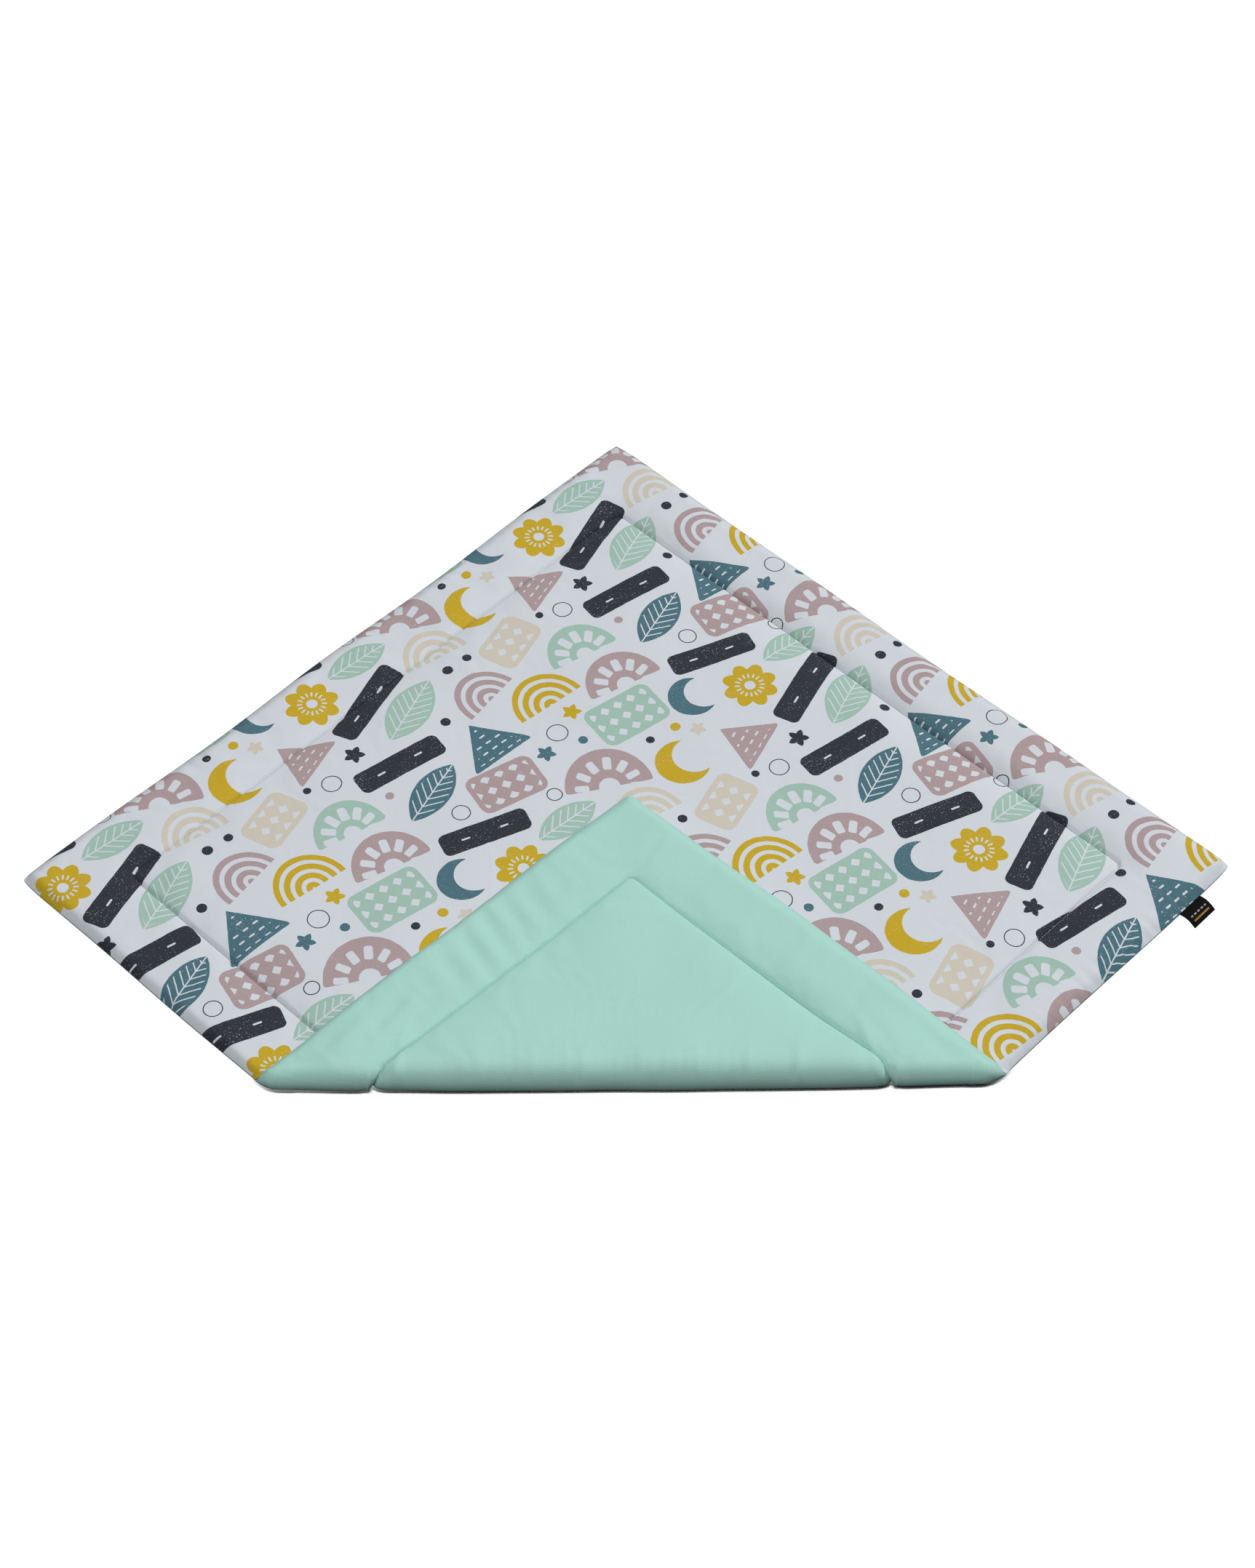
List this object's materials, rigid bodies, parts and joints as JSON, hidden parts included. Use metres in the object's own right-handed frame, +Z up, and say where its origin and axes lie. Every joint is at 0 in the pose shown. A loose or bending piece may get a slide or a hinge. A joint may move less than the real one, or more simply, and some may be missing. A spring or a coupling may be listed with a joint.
{
  "type": "tepee mat",
  "caption": "Square padded floor mat for a play tent, with a sewn channel inside its edge and a corner folded over to show its plain underside.",
  "frame": {"origin": "middle of the unfolded mat, on the surface that it lies on", "axes": "+Z up; X and Y along the mat's sides, with the folded corner at -X -Y and the tag on the -Y side"},
  "size_m": [1.0991, 1.1259, 0.0533],
  "materials": {
    "printed_cotton": "matte printed cotton",
    "plain_cotton": "matte plain mint cotton",
    "woven_tag": "black woven ribbon"
  },
  "bodies": {
    "root": {"printed_panel": "printed_cotton", "plain_panel": "plain_cotton", "side_tag": "woven_tag"}
  },
  "joints": []
}
